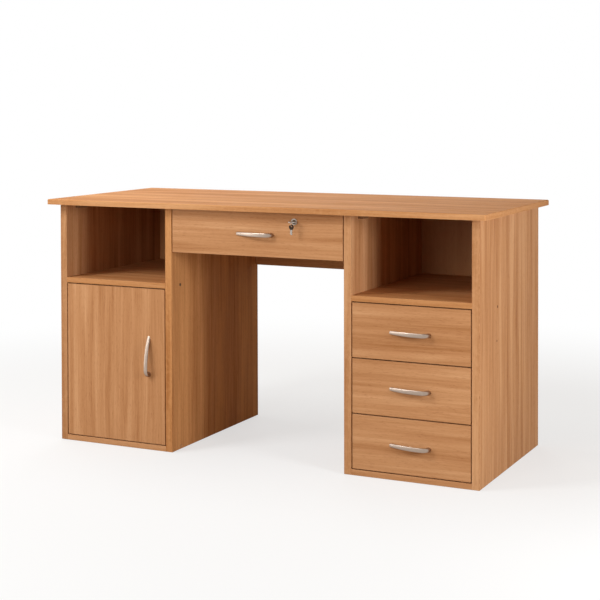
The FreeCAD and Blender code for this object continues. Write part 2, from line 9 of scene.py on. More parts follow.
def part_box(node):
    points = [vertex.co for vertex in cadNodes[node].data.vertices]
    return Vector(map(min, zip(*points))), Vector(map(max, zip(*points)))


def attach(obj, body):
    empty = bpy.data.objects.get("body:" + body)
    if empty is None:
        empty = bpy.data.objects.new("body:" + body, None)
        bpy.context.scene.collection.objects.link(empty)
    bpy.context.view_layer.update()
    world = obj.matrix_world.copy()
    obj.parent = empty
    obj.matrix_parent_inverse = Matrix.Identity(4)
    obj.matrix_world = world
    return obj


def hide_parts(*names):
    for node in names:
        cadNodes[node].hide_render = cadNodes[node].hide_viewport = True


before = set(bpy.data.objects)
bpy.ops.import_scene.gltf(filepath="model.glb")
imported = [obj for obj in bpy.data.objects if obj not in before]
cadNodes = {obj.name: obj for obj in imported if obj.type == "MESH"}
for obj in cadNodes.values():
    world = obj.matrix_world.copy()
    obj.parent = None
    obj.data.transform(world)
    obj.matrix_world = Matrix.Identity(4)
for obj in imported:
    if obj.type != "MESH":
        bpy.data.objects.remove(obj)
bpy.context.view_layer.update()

drawerNames = ["upper", "middle", "lower", "centre"]


def middleOf(nodeName):
    low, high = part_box(nodeName)
    return (Vector(low) + Vector(high)) / 2


# Node trees: a value is either a number or colour, or the socket that gives it.

def feed(tree, socket, value):
    if isinstance(value, bpy.types.NodeSocket):
        tree.links.new(value, socket)
    else:
        socket.default_value = value


def addNode(tree, kind, inputs=None, **settings):
    node = tree.nodes.new(kind)
    for name, value in settings.items():
        setattr(node, name, value)
    for name, value in (inputs or {}).items():
        feed(tree, node.inputs[name], value)
    return node


def doMath(tree, operation, first, second=0.0, third=0.0, clamp=False):
    return addNode(tree, "ShaderNodeMath", {0: first, 1: second, 2: third},
                   operation=operation, use_clamp=clamp).outputs[0]


def multiply(tree, first, second, clamp=False):
    return doMath(tree, "MULTIPLY", first, second, clamp=clamp)


def subtract(tree, first, second):
    return doMath(tree, "SUBTRACT", first, second)


def multiplyAdd(tree, first, second, third, clamp=False):
    return doMath(tree, "MULTIPLY_ADD", first, second, third, clamp)


def vectorMath(tree, operation, first, second):
    node = addNode(tree, "ShaderNodeVectorMath", {0: first, 1: second}, operation=operation)
    return node.outputs["Value" if operation in ("DOT_PRODUCT", "DISTANCE") else "Vector"]


def scaleVector(tree, vector, factor):
    return addNode(tree, "ShaderNodeVectorMath", {0: vector, "Scale": factor},
                   operation="SCALE").outputs[0]


def splitVector(tree, vector):
    return addNode(tree, "ShaderNodeSeparateXYZ", {0: vector}).outputs


def joinVector(tree, x, y, z):
    return addNode(tree, "ShaderNodeCombineXYZ", {0: x, 1: y, 2: z}).outputs[0]


def blendColour(tree, factor, first, second, how="MIX"):
    return addNode(tree, "ShaderNodeMix", {0: factor, 6: first, 7: second},
                   data_type="RGBA", blend_type=how, clamp_factor=True).outputs[2]


def blendVector(tree, factor, first, second):
    return addNode(tree, "ShaderNodeMix", {0: factor, 4: first, 5: second},
                   data_type="VECTOR").outputs[1]


def stepBetween(tree, value, low, high, outLow=0.0, outHigh=1.0):
    return addNode(tree, "ShaderNodeMapRange", {0: value, 1: low, 2: high, 3: outLow, 4: outHigh},
                   interpolation_type="SMOOTHSTEP", clamp=True).outputs[0]


def cloud(tree, position, stretch, detail=2.0, roughness=0.5, colour=False):
    # A noise over the position, squeezed by the stretch along each way.
    place = vectorMath(tree, "MULTIPLY", position, stretch)
    node = addNode(tree, "ShaderNodeTexNoise", {"Vector": place, "Scale": 1.0, "Detail": detail,
                                                "Roughness": roughness})
    return node.outputs[1 if colour else 0]


def shaded(colour, factor):
    return tuple(min(1.0, part * factor) for part in colour[:3]) + (1.0,)


def newGroup(name, inputs, outputs):
    tree = bpy.data.node_groups.new(name, "ShaderNodeTree")
    for label, kind, value in inputs:
        socket = tree.interface.new_socket(label, in_out="INPUT", socket_type="NodeSocket" + kind)
        socket.default_value = value
    for label, kind in outputs:
        tree.interface.new_socket(label, in_out="OUTPUT", socket_type="NodeSocket" + kind)
    return tree, addNode(tree, "NodeGroupInput").outputs, addNode(tree, "NodeGroupOutput").inputs


def useGroup(tree, group, inputs):
    node = tree.nodes.new("ShaderNodeGroup")
    node.node_tree = group
    for name, value in inputs.items():
        feed(tree, node.inputs[name], value)
    return node.outputs


acrossGrain = 0.7


def makeGrainDirectionGroup():
    # Turns a place on a board into grain coordinates, with the grain along the first one.
    # Faces across the grain carry an edge strip, whose own grain runs along the strip.
    # A pair of boards, left and right, gets a shift of its own for each.
    tree, given, out = newGroup("grainDirection", [
        ("Position", "Vector", (0, 0, 0)), ("Facing", "Vector", (0, 0, 1)), ("Upright", "Float", 0.0),
        ("Strip Runs Back", "Float", 0.0), ("Pair", "Float", 0.0), ("Shift", "Vector", (0, 0, 0))],
        [("Grain", "Vector"), ("On Strip", "Float")])
    place = splitVector(tree, given["Position"])
    facing = splitVector(tree, given["Facing"])
    turned = joinVector(tree, place[2], place[1], place[0])
    along = blendVector(tree, given["Upright"], given["Position"], turned)
    parts = splitVector(tree, along)
    level = subtract(tree, 1.0, given["Upright"])
    across = doMath(tree, "ADD", multiply(tree, facing[0], level),
                    multiply(tree, facing[2], given["Upright"]))
    onStrip = doMath(tree, "GREATER_THAN", doMath(tree, "ABSOLUTE", across), acrossGrain)
    stripDown = joinVector(tree, parts[2], parts[1], parts[0])
    stripBack = joinVector(tree, parts[1], parts[2], parts[0])
    strip = blendVector(tree, given["Strip Runs Back"], stripDown, stripBack)
    grain = blendVector(tree, onStrip, along, strip)
    fromRight = subtract(tree, doMath(tree, "SIGN", place[0]), 1.0)
    swap = doMath(tree, "ADD", 1.0, multiply(tree, given["Pair"], fromRight))
    shift = scaleVector(tree, given["Shift"], swap)
    tree.links.new(vectorMath(tree, "ADD", grain, shift), out["Grain"])
    tree.links.new(onStrip, out["On Strip"])
    return tree


oakGrain = {"bend": (1.3, 6.0, 6.0), "bendReach": (0.0, 0.03, 0.03), "streak": (3.2, 130.0, 130.0),
            "fibre": (22.0, 900.0, 900.0), "speck": (60.0, 760.0, 760.0), "poreEdge": (0.58, 0.72),
            "fibreShare": 0.25, "roughness": 0.40, "streakRoughness": 0.1, "poreRoughness": 0.12,
            "fibreHeight": 0.35}


def makeOakPrintGroup():
    # A printed light oak: wide soft bands, narrow streaks, fine fibres and short dark pores,
    # each a noise stretched along the grain, bent a little by a slower noise.
    white = (1, 1, 1, 1)
    tree, given, out = newGroup("oakPrint", [
        ("Grain", "Vector", (0, 0, 0)), ("Light", "Color", white), ("Middle", "Color", white),
        ("Dark", "Color", white), ("Band", "Float", 1.0), ("Band Scale", "Vector", (1.1, 32.0, 32.0)),
        ("Streak", "Float", 1.0), ("Pore", "Float", 1.0)],
        [("Colour", "Color"), ("Roughness", "Float"), ("Height", "Float")])
    bend = cloud(tree, given["Grain"], oakGrain["bend"], colour=True)
    bend = vectorMath(tree, "SUBTRACT", bend, (0.5, 0.5, 0.5))
    bend = vectorMath(tree, "MULTIPLY", bend, oakGrain["bendReach"])
    grain = vectorMath(tree, "ADD", given["Grain"], bend)
    band = cloud(tree, grain, given["Band Scale"], 3.0, 0.6)
    streak = cloud(tree, grain, oakGrain["streak"], 4.0, 0.62)
    fibre = cloud(tree, grain, oakGrain["fibre"])
    pore = stepBetween(tree, cloud(tree, grain, oakGrain["speck"], 1.0), *oakGrain["poreEdge"])
    # The tone starts at a half and each noise moves it by its share. Up to a half it runs from
    # dark to middle, above a half from middle to light.
    tone = multiplyAdd(tree, subtract(tree, band, 0.5), given["Band"], 0.5)
    tone = multiplyAdd(tree, subtract(tree, streak, 0.5), given["Streak"], tone)
    tone = multiplyAdd(tree, subtract(tree, fibre, 0.5), oakGrain["fibreShare"], tone)
    darker = blendColour(tree, multiply(tree, tone, 2.0, clamp=True), given["Dark"], given["Middle"])
    lighter = multiplyAdd(tree, tone, 2.0, -1.0, clamp=True)
    colour = blendColour(tree, lighter, darker, given["Light"])
    marked = multiply(tree, pore, given["Pore"])
    tree.links.new(blendColour(tree, marked, colour, given["Dark"], "MULTIPLY"), out["Colour"])
    rough = multiplyAdd(tree, streak, oakGrain["streakRoughness"], oakGrain["roughness"])
    tree.links.new(multiplyAdd(tree, pore, oakGrain["poreRoughness"], rough), out["Roughness"])
    tree.links.new(subtract(tree, multiply(tree, fibre, oakGrain["fibreHeight"]), pore), out["Height"])
    return tree


boardEdge = {"strip": 0.0008, "lineEdge": (0.0001, 0.00035), "wideFace": 0.9, "wearAndHighlightReach": 0.0016,
             "uneven": (70.0, 70.0, 70.0), "unevenEdge": (0.45, 0.7)}


def makeEdgeStripGroup():
    # The thin joint line round a board's wide faces, where its edge strips meet them,
    # from the distance to the nearest side of the board's box.
    tree, given, out = newGroup("edgeStrip", [
        ("Position", "Vector", (0, 0, 0)), ("Facing", "Vector", (0, 0, 1)), ("Low", "Vector", (0, 0, 0)),
        ("High", "Vector", (1, 1, 1)), ("Thin Way", "Vector", (0, 1, 0)),
        ("Strip", "Float", boardEdge["strip"])],
        [("Line", "Float"), ("Wear And Highlight", "Float")])
    fromLow = vectorMath(tree, "SUBTRACT", given["Position"], given["Low"])
    fromHigh = vectorMath(tree, "SUBTRACT", given["High"], given["Position"])
    nearest = vectorMath(tree, "MINIMUM", fromLow, fromHigh)
    parts = splitVector(tree, vectorMath(tree, "ADD", nearest, given["Thin Way"]))
    distance = doMath(tree, "MINIMUM", doMath(tree, "MINIMUM", parts[0], parts[1]), parts[2])
    flat = doMath(tree, "ABSOLUTE", vectorMath(tree, "DOT_PRODUCT", given["Facing"], given["Thin Way"]))
    wide = doMath(tree, "GREATER_THAN", flat, boardEdge["wideFace"])
    off = doMath(tree, "ABSOLUTE", subtract(tree, distance, given["Strip"]))
    line = stepBetween(tree, off, *boardEdge["lineEdge"], 1.0, 0.0)
    tree.links.new(multiply(tree, line, wide), out["Line"])
    # A lighter band along every arris, made patchy by a noise: edge wear, and a painted highlight along
    # the arrises.
    uneven = cloud(tree, given["Position"], boardEdge["uneven"], 3.0, 0.6)
    wearAndHighlight = stepBetween(tree, distance, 0.0, boardEdge["wearAndHighlightReach"], 1.0, 0.0)
    patchiness = stepBetween(tree, uneven, *boardEdge["unevenEdge"])
    tree.links.new(multiply(tree, wearAndHighlight, patchiness), out["Wear And Highlight"])
    return tree


knotEdge = (0.35, 1.1)


def makeKnotGroup():
    # A small dark knot in the print, a soft round mask about one place.
    tree, given, out = newGroup("printKnot", [
        ("Position", "Vector", (0, 0, 0)), ("Place", "Vector", (0, 0, 0)), ("Radius", "Float", 0.003)],
        [("Mask", "Float")])
    gap = vectorMath(tree, "DISTANCE", given["Position"], given["Place"])
    share = doMath(tree, "DIVIDE", gap, given["Radius"])
    tree.links.new(stepBetween(tree, share, *knotEdge, 1.0, 0.0), out["Mask"])
    return tree


handling = {"smudge": (9.0, 9.0, 9.0), "smudgeEdge": (0.42, 0.72), "scratch": (40.0, 700.0, 260.0),
            "scratchEdge": (0.68, 0.75)}


def makeHandlingGroup():
    # Light handling marks: dull cloudy patches and fine scratches, as masks.
    tree, given, out = newGroup("handlingMarks", [
        ("Position", "Vector", (0, 0, 0)), ("Size", "Float", 1.0)],
        [("Smudge", "Float"), ("Scratch", "Float")])
    sized = scaleVector(tree, given["Position"], given["Size"])
    smudge = cloud(tree, sized, handling["smudge"], 4.0, 0.6)
    scratch = cloud(tree, sized, handling["scratch"])
    tree.links.new(stepBetween(tree, smudge, *handling["smudgeEdge"]), out["Smudge"])
    tree.links.new(stepBetween(tree, scratch, *handling["scratchEdge"]), out["Scratch"])
    return tree


grainDirection = makeGrainDirectionGroup()
oakPrint = makeOakPrintGroup()
edgeStrip = makeEdgeStripGroup()
printKnot = makeKnotGroup()
handlingMarks = makeHandlingGroup()
print("stage: shader groups ready")


def newMaterial(name, roughness=0.5, metallic=0.0, specular=0.5):
    material = bpy.data.materials.new(name)
    material.use_nodes = True
    tree = material.node_tree
    shader = tree.nodes["Principled BSDF"]
    shader.inputs["Roughness"].default_value = roughness
    shader.inputs["Metallic"].default_value = metallic
    shader.inputs["Specular IOR Level"].default_value = specular
    return material, tree, shader.inputs, addNode(tree, "ShaderNodeTexCoord").outputs


def addBump(tree, inputs, height, distance, strength=0.5):
    bump = addNode(tree, "ShaderNodeBump", {"Height": height, "Distance": distance,
                                            "Strength": strength})
    tree.links.new(bump.outputs[0], inputs["Normal"])


oakLook = {
    "light": (0.670, 0.360, 0.178, 1.0), "middle": (0.545, 0.264, 0.117, 1.0),
    "dark": (0.400, 0.168, 0.062, 1.0), "glueLine": (0.20, 0.085, 0.033, 1.0),
    "knot": (0.10, 0.04, 0.015, 1.0), "band": 1.55, "bandScale": (1.1, 32.0, 32.0), "stripBand": 0.5,
    "streak": 1.0, "pore": 0.25, "specular": 0.08, "dullness": 0.04, "bump": 0.00006,
    "glueShare": 0.55, "wearAndHighlightShare": 0.3, "smudgeRoughness": 0.07, "scratchRoughness": 0.05}


def shiftFor(name):
    # Each board's name gives it a stretch of the print of its own.
    seed = sum(ord(letter) * (index + 3) for index, letter in enumerate(name))
    return ((seed % 97) * 0.731, (seed % 53) * 0.417, (seed % 31) * 0.893)


def oakMaterial(name, low, high, thinWay, upright=False, runsBack=False, pair=False, knots=(),
                changes=None):
    look = dict(oakLook, **(changes or {}))
    material, tree, inputs, where = newMaterial(name, specular=look["specular"])
    place, facing = where["Object"], where["Normal"]
    grain = useGroup(tree, grainDirection, {
        "Position": place, "Facing": facing, "Upright": float(upright),
        "Strip Runs Back": float(runsBack), "Pair": float(pair), "Shift": shiftFor(name)})
    band = multiplyAdd(tree, grain["On Strip"], look["stripBand"] - look["band"], look["band"])
    oak = useGroup(tree, oakPrint, {
        "Grain": grain["Grain"], "Light": look["light"], "Middle": look["middle"],
        "Dark": look["dark"], "Band": band, "Band Scale": look["bandScale"],
        "Streak": look["streak"], "Pore": look["pore"]})
    # The box of a pair is the right board's, so places on the left one are mirrored into it.
    spot = place
    if pair:
        spot = addNode(tree, "ShaderNodeVectorMath", {0: place}, operation="ABSOLUTE").outputs[0]
    strip = useGroup(tree, edgeStrip, {"Position": spot, "Facing": facing, "Low": low, "High": high,
                                       "Thin Way": thinWay})
    marks = useGroup(tree, handlingMarks, {"Position": place})
    glued = multiply(tree, strip["Line"], look["glueShare"])
    colour = blendColour(tree, glued, oak["Colour"], look["glueLine"])
    # Lighter along the arrises: edge wear, and a painted highlight.
    colour = blendColour(tree, multiply(tree, strip["Wear And Highlight"], look["wearAndHighlightShare"]), colour, look["light"])
    for knotPlace, radius in knots:
        knot = {"Position": place, "Place": knotPlace, "Radius": radius}
        colour = blendColour(tree, useGroup(tree, printKnot, knot)["Mask"], colour, look["knot"])
    tree.links.new(colour, inputs["Base Color"])
    rough = doMath(tree, "ADD", oak["Roughness"], look["dullness"])
    rough = multiplyAdd(tree, marks["Smudge"], look["smudgeRoughness"], rough)
    rough = multiplyAdd(tree, marks["Scratch"], look["scratchRoughness"], rough)
    tree.links.new(rough, inputs["Roughness"])
    addBump(tree, inputs, oak["Height"], look["bump"])
    return material


metalLook = {"lines": 900.0, "lineEdge": (0.3, 0.7), "lineShade": (0.93, 1.04), "grimeShade": 0.62,
             "marksSize": 3.0, "smudgeRoughness": 0.1, "lineRoughness": 0.08, "bump": 0.00002,
             "bumpStrength": 0.4}


def metalMaterial(name, colour, roughness, brush=(1.0, 1.0, 1.0), grime=0.2):
    # Brushed or plated metal: fine lines one way, with cloudy dullness and a little grime.
    material, tree, inputs, where = newMaterial(name, metallic=1.0)
    place = where["Object"]
    line = cloud(tree, place, tuple(metalLook["lines"] * part for part in brush), 3.0, 0.6)
    marks = useGroup(tree, handlingMarks, {"Position": place, "Size": metalLook["marksSize"]})
    dull = blendColour(tree, multiply(tree, marks["Smudge"], grime), colour,
                       shaded(colour, metalLook["grimeShade"]))
    tone = stepBetween(tree, line, *metalLook["lineEdge"], *metalLook["lineShade"])
    grey = addNode(tree, "ShaderNodeCombineColor", {0: tone, 1: tone, 2: tone}).outputs[0]
    tree.links.new(blendColour(tree, 1.0, dull, grey, "MULTIPLY"), inputs["Base Color"])
    rough = multiplyAdd(tree, marks["Smudge"], metalLook["smudgeRoughness"], roughness)
    rough = multiplyAdd(tree, line, metalLook["lineRoughness"], rough)
    tree.links.new(rough, inputs["Roughness"])
    addBump(tree, inputs, line, metalLook["bump"], metalLook["bumpStrength"])
    return material


plainLook = {"slow": (14.0, 14.0, 14.0), "edge": (0.3, 0.7), "deepShare": 2.5, "paleShare": 1.5,
             "marksSize": 2.0, "smudgeRoughness": 0.12}


def plainMaterial(name, colour, roughness, spread, fineSize, bump=0.00005):
    # Moulded plastic, enamel or plain board: an even colour with a slow cloud and a fine texture.
    material, tree, inputs, where = newMaterial(name)
    place = where["Object"]
    slow = cloud(tree, place, plainLook["slow"], 3.0, 0.6)
    fine = cloud(tree, place, (fineSize, fineSize, fineSize), 3.0, 0.6)
    mixed = multiplyAdd(tree, fine, 0.5, multiply(tree, slow, 0.5))
    tone = stepBetween(tree, mixed, *plainLook["edge"])
    deep = shaded(colour, 1 - plainLook["deepShare"] * spread)
    pale = shaded(colour, 1 + plainLook["paleShare"] * spread)
    tree.links.new(blendColour(tree, tone, deep, pale), inputs["Base Color"])
    marks = useGroup(tree, handlingMarks, {"Position": place, "Size": plainLook["marksSize"]})
    rough = multiplyAdd(tree, marks["Smudge"], plainLook["smudgeRoughness"], roughness)
    tree.links.new(rough, inputs["Roughness"])
    addBump(tree, inputs, fine, bump)
    return material


hardboard = {
    "light": (0.62, 0.32, 0.150, 1.0), "middle": (0.54, 0.25, 0.105, 1.0),
    "dark": (0.44, 0.18, 0.068, 1.0), "band": 0.6, "streak": 0.5, "pore": 0.2,
    "shift": (3.1, 5.7, 8.2), "bareDeep": (0.17, 0.085, 0.038, 1.0),
    "barePale": (0.30, 0.165, 0.08, 1.0), "fine": (700.0, 700.0, 700.0), "slow": (6.0, 6.0, 6.0),
    "fineShare": 0.55, "slowShare": 0.45, "edge": (0.32, 0.68), "frontFacing": -0.5,
    "specular": 0.35, "rearRoughness": 0.25, "bump": 0.0001, "bumpStrength": 0.4}


def backPanelMaterial():
    # Hardboard: the face that looks forward has the oak print, the rear face is bare brown board.
    look = hardboard
    material, tree, inputs, where = newMaterial("backPanelFinish", specular=look["specular"])
    place, facing = where["Object"], where["Normal"]
    grain = useGroup(tree, grainDirection, {"Position": place, "Facing": facing, "Upright": 1.0,
                                            "Pair": 1.0, "Shift": look["shift"]})["Grain"]
    oak = useGroup(tree, oakPrint, {
        "Grain": grain, "Light": look["light"], "Middle": look["middle"], "Dark": look["dark"],
        "Band": look["band"], "Streak": look["streak"], "Pore": look["pore"]})
    fine = cloud(tree, place, look["fine"], 4.0, 0.7)
    slow = cloud(tree, place, look["slow"], 4.0, 0.6)
    mixed = multiplyAdd(tree, fine, look["fineShare"], multiply(tree, slow, look["slowShare"]))
    bare = blendColour(tree, stepBetween(tree, mixed, *look["edge"]), look["bareDeep"],
                       look["barePale"])
    isRear = doMath(tree, "GREATER_THAN", splitVector(tree, facing)[1], look["frontFacing"])
    tree.links.new(blendColour(tree, isRear, oak["Colour"], bare), inputs["Base Color"])
    rough = multiplyAdd(tree, isRear, look["rearRoughness"], oak["Roughness"])
    tree.links.new(rough, inputs["Roughness"])
    addBump(tree, inputs, fine, look["bump"], look["bumpStrength"])
    return material


nickel = dict(colour=(0.42, 0.325, 0.26, 1.0), roughness=0.30)
metals = {
    "satinNickel": dict(nickel, brush=(0.02, 1.0, 1.0)),
    "satinNickelUpright": dict(nickel, brush=(1.0, 1.0, 0.02)),
    "bronzedScrew": dict(colour=(0.13, 0.075, 0.04, 1.0), roughness=0.42, grime=0.4),
    # The lock plug's dark metal is painted shade for the recess and the gap round the key's bow.
    "plugShadeDark": dict(colour=(0.13, 0.085, 0.055, 1.0), roughness=0.38, brush=(1.0, 0.3, 1.0),
                       grime=0.4),
    "zincSteel": dict(colour=(0.56, 0.55, 0.53, 1.0), roughness=0.34, grime=0.4),
    "platedHinge": dict(colour=(0.60, 0.585, 0.56, 1.0), roughness=0.26, brush=(1.0, 0.1, 1.0),
                        grime=0.3),
    "platedLock": dict(colour=(0.44, 0.375, 0.32, 1.0), roughness=0.26, brush=(1.0, 0.3, 1.0),
                       grime=0.3),
    "keySteel": dict(colour=(0.47, 0.405, 0.35, 1.0), roughness=0.28, brush=(0.3, 1.0, 1.0),
                     grime=0.3),
    "nailSteel": dict(colour=(0.42, 0.41, 0.40, 1.0), roughness=0.4, grime=0.5)}
plains = {
    "runnerEnamel": dict(colour=(0.72, 0.71, 0.67, 1.0), roughness=0.38, spread=0.05, fineSize=540.0,
                         bump=0.00004),
    "rollerNylon": dict(colour=(0.76, 0.75, 0.71, 1.0), roughness=0.45, spread=0.04, fineSize=360.0,
                        bump=0.00003),
    "blockPlastic": dict(colour=(0.24, 0.12, 0.055, 1.0), roughness=0.5, spread=0.06, fineSize=540.0,
                         bump=0.00008),
    "beechDowel": dict(colour=(0.60, 0.40, 0.22, 1.0), roughness=0.6, spread=0.1, fineSize=360.0,
                       bump=0.0001)}
baseBoard = dict(colour=(0.62, 0.50, 0.36, 1.0), roughness=0.6, spread=0.05, fineSize=480.0)
finishes = {name: metalMaterial(name, **look) for name, look in metals.items()}
finishes.update({name: plainMaterial(name, **look) for name, look in plains.items()})
print("stage: materials ready")


# Boards and plain fittings keep their CAD shape, and get soft edges and a finish.

easing = {"weld": 0.00001, "flatAngle": 1.0, "edgeAngle": 35.0, "weight": 60}


def finishNode(nodeName, material, softness=0.0, segments=2, joinFlat=False):
    # Joining the flat faces first keeps the bevel clean round a hole.
    node = cadNodes[nodeName]
    node.data.materials.clear()
    node.data.materials.append(material)
    if softness:
        weld = node.modifiers.new("weld", "WELD")
        weld.merge_threshold = easing["weld"]
        if joinFlat:
            join = node.modifiers.new("joinFlat", "DECIMATE")
            join.decimate_type = "DISSOLVE"
            join.angle_limit = math.radians(easing["flatAngle"])
        bevel = node.modifiers.new("softEdges", "BEVEL")
        bevel.width = softness
        bevel.segments = segments
        bevel.limit_method = "ANGLE"
        bevel.angle_limit = math.radians(easing["edgeAngle"])
        bevel.miter_outer = "MITER_ARC"
        bevel.use_clamp_overlap = True
        even = node.modifiers.new("evenShading", "WEIGHTED_NORMAL")
        even.weight = easing["weight"]
        even.keep_sharp = False


# A print that leans to orange, for the top and the shelves: on the shelves it is painted warm shade
# inside the cubbies, on the top it offsets the white of the sheen
warmOak = {"light": (0.670, 0.345, 0.156, 1.0), "middle": (0.545, 0.248, 0.096, 1.0),
           "dark": (0.400, 0.155, 0.048, 1.0)}
sideLook = {"specular": 0.03, "band": 2.4, "bandScale": (1.0, 26.0, 26.0)}
# A darker copy of the side print for the left outer side: painted shade for its face inside the left
# cubby.
shadedSideLook = dict(sideLook, light=(0.600, 0.318, 0.154, 1.0), middle=(0.485, 0.230, 0.100, 1.0),
                   dark=(0.350, 0.145, 0.053, 1.0))
# A redder, deeper copy of the side print for the knee-hole wall: painted warm shade of the knee hole.
kneeShadeLook = dict(sideLook, band=2.1, bandScale=(0.9, 17.0, 17.0), light=(0.720, 0.350, 0.138, 1.0),
                middle=(0.555, 0.248, 0.092, 1.0), dark=(0.370, 0.132, 0.036, 1.0))
knots = [((0.673, -0.115, 0.472), 0.0052), ((0.673, -0.120, 0.378), 0.0040)]
sideBoard = dict(thinWay=(1, 0, 0), upright=True, softness=0.0007)
rightBoardLow = 0.300
boards = {
    "desk_top": dict(thinWay=(0, 0, 1), runsBack=True, softness=0.0,
                     changes=dict(warmOak, specular=0.06, dullness=0.14, band=2.1, streak=1.3)),
    "left_outer_side": dict(sideBoard, changes=shadedSideLook),
    "left_inner_side": dict(sideBoard, changes=kneeShadeLook),
    "right_inner_side": dict(sideBoard, changes=sideLook),
    "right_outer_side": dict(sideBoard, changes=sideLook, knots=knots),
    "base_panels": dict(thinWay=(0, 0, 1), pair=True, softness=0.0006, changes={"specular": 0.03}),
    "shelves": dict(thinWay=(0, 0, 1), pair=True, softness=0.0006,
                    changes=dict(warmOak, specular=0.03)),
    "modesty_panel": dict(thinWay=(0, 1, 0), softness=0.0006),
    "door_panel": dict(thinWay=(0, 1, 0), upright=True, softness=0.0012)}
for drawer in drawerNames:
    boards[drawer + "_drawer_front"] = dict(thinWay=(0, 1, 0), softness=0.0012)
    boards[drawer + "_drawer_sides"] = dict(thinWay=(1, 0, 0), runsBack=True, softness=0.0004)
    boards[drawer + "_drawer_back"] = dict(thinWay=(0, 1, 0), softness=0.0004)
for boardName, board in boards.items():
    low, high = (tuple(corner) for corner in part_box(boardName))
    if board.get("pair"):
        low = (rightBoardLow, low[1], low[2])
    look = {key: value for key, value in board.items() if key != "softness"}
    finishNode(boardName, oakMaterial(boardName + "Finish", low, high, **look), board["softness"],
               joinFlat=boardName.endswith("_front"))
finishNode("back_panels", backPanelMaterial())

fittings = {"corner_blocks": ("blockPlastic", 0.0008, 2), "dowels": ("beechDowel", 0.0004, 2),
            "hinge_arms": ("platedHinge", 0.0004, 2), "hinge_cups": ("platedHinge", 0.0003, 2),
            "lock_barrel": ("platedLock", 0.0004, 3), "lock_plug": ("plugShadeDark", 0.0002, 2),
            "lock_cam": ("platedLock", 0.0003, 2), "lock_key": ("keySteel", 0.0005, 3),
            "cabinet_rails": ("runnerEnamel", 0.00025, 2)}
for drawer in drawerNames:
    finishNode(drawer + "_drawer_base", plainMaterial(drawer + "BaseBoard", **baseBoard))
    fittings[drawer + "_drawer_rails"] = ("runnerEnamel", 0.00025, 2)
for nodeName, (finish, softness, segments) in fittings.items():
    finishNode(nodeName, finishes[finish], softness, segments, joinFlat=nodeName == "lock_key")
print("stage: boards and plain fittings finished")


# New pieces: grids of points joined into one closed mesh.

def gridFaces(rows, columns):
    row, column = np.meshgrid(np.arange(rows - 1), np.arange(columns), indexing="ij")
    first = row * columns + column
    second = row * columns + (column + 1) % columns
    return np.stack([first, second, second + columns, first + columns], axis=-1).reshape(-1, 4)


def tubePart(points):
    # A tube from rows of rings, with a flat cap at each end.
    rows, columns = points.shape[:2]
    faces = gridFaces(rows, columns).tolist()
    faces.append(list(range(columns))[::-1])
    faces.append([(rows - 1) * columns + index for index in range(columns)])
    return points.reshape(-1, 3), faces


def ringPart(points):
    # A grid that closes both ways, such as a torus.
    rows, columns = points.shape[:2]
    return points.reshape(-1, 3), (gridFaces(rows + 1, columns) % (rows * columns)).tolist()


def axesAbout(axis):
    way = Vector(axis).normalized()
    across = way.orthogonal().normalized()
    return np.array(way), np.array(across), np.array(way.cross(across))


def turnedPart(profile, centre, axis, sides):
    # A profile of (distance along the axis, radius) turned round the axis through the centre.
    way, across, upwards = axesAbout(axis)
    angle = np.linspace(0, 2 * np.pi, sides, endpoint=False)
    along, radius = np.array(profile, float).T[:, :, None, None]
    spin = np.cos(angle)[None, :, None] * across + np.sin(angle)[None, :, None] * upwards
    return tubePart(np.array(centre, float) + along * way + radius * spin)


def makePiece(name, parts, material, body, replaced=(), sharpAngle=40.0):
    vertices = []
    faces = []
    for points, partFaces in parts:
        start = sum(len(block) for block in vertices)
        vertices.append(np.asarray(points, float))
        faces += [[index + start for index in face] for face in partFaces]
    mesh = bpy.data.meshes.new(name)
    mesh.from_pydata(np.concatenate(vertices).tolist(), [], faces)
    shell = bmesh.new()
    shell.from_mesh(mesh)
    bmesh.ops.remove_doubles(shell, verts=shell.verts, dist=0.000001)
    bmesh.ops.recalc_face_normals(shell, faces=shell.faces)
    shell.to_mesh(mesh)
    shell.free()
    mesh.shade_smooth()
    mesh.set_sharp_from_angle(angle=math.radians(sharpAngle))
    mesh.materials.append(material)
    piece = bpy.data.objects.new(name, mesh)
    bpy.context.scene.collection.objects.link(piece)
    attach(piece, body)
    if replaced:
        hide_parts(*replaced)


# Bow handles. A line is its near foot, its peak and its far foot, along the handle.

bowHandle = {"outer": (-0.0615, 0.040, 0.0598), "inner": (-0.0435, 0.034, 0.0450), "rise": 0.021,
             "thickness": 0.004, "nearHalfWidth": 0.0053, "halfWidth": 0.006, "farHalfWidth": 0.0057,
             "squareness": 2.8, "nearSteps": 90, "farSteps": 56, "sides": 40, "sharpAngle": 60.0}
handleOwners = [drawer + "_drawer" for drawer in drawerNames] + ["door"]


def handleSeat(owner):
    face = owner + ("_panel" if owner == "door" else "_front")
    return middleOf(owner + "_handle"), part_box(face)[0][1]


def bowedLine(share, line, rise):
    # Two arcs that meet level at the peak, each from its foot on the face: with r the radius
    # (run^2 + rise^2) / 2 rise and a the angle, x = peak + r sin a, y = r (1 - cos a) - rise.
    # The share runs from -1 at the near foot through 0 at the peak to 1 at the far foot.
    near, peak, far = line
    run = np.where(share < 0, near, far) - peak
    radius = (run ** 2 + rise ** 2) / (2 * rise)
    angle = np.arctan2(run, radius - rise) * np.abs(share)
    return peak + radius * np.sin(angle), radius * (1 - np.cos(angle)) - rise


